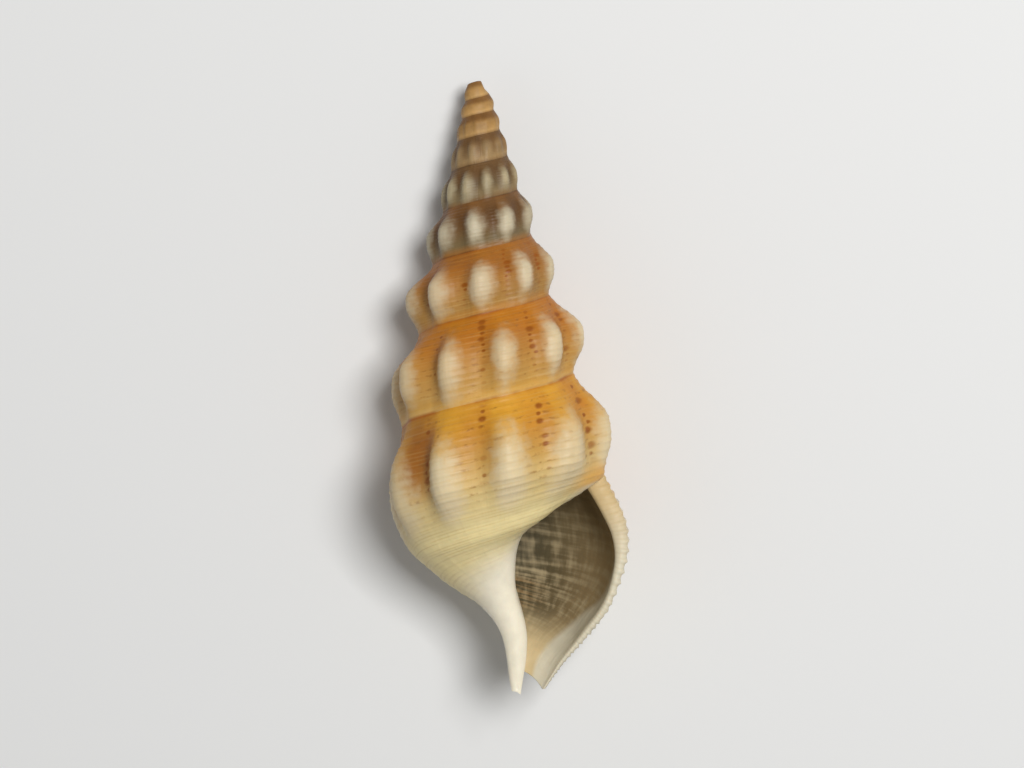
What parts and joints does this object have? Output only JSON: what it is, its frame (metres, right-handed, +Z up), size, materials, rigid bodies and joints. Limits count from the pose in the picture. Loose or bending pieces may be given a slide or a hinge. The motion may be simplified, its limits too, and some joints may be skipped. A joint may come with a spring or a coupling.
{
  "type": "ribbed spire shell",
  "caption": "Tall-spired sea snail shell with rounded ribs, an open aperture and a short canal, lying on its back with the aperture up.",
  "frame": {"origin": "centre of the bounding box's bottom face, on the ground that the shell's ribs rest on", "axes": "+Y towards the apex, +Z up out of the aperture, +X towards the outer lip"},
  "size_m": [0.0158, 0.0394, 0.0145],
  "materials": {
    "shell": "satin"
  },
  "bodies": {
    "root": {"shell": "shell"}
  },
  "joints": []
}
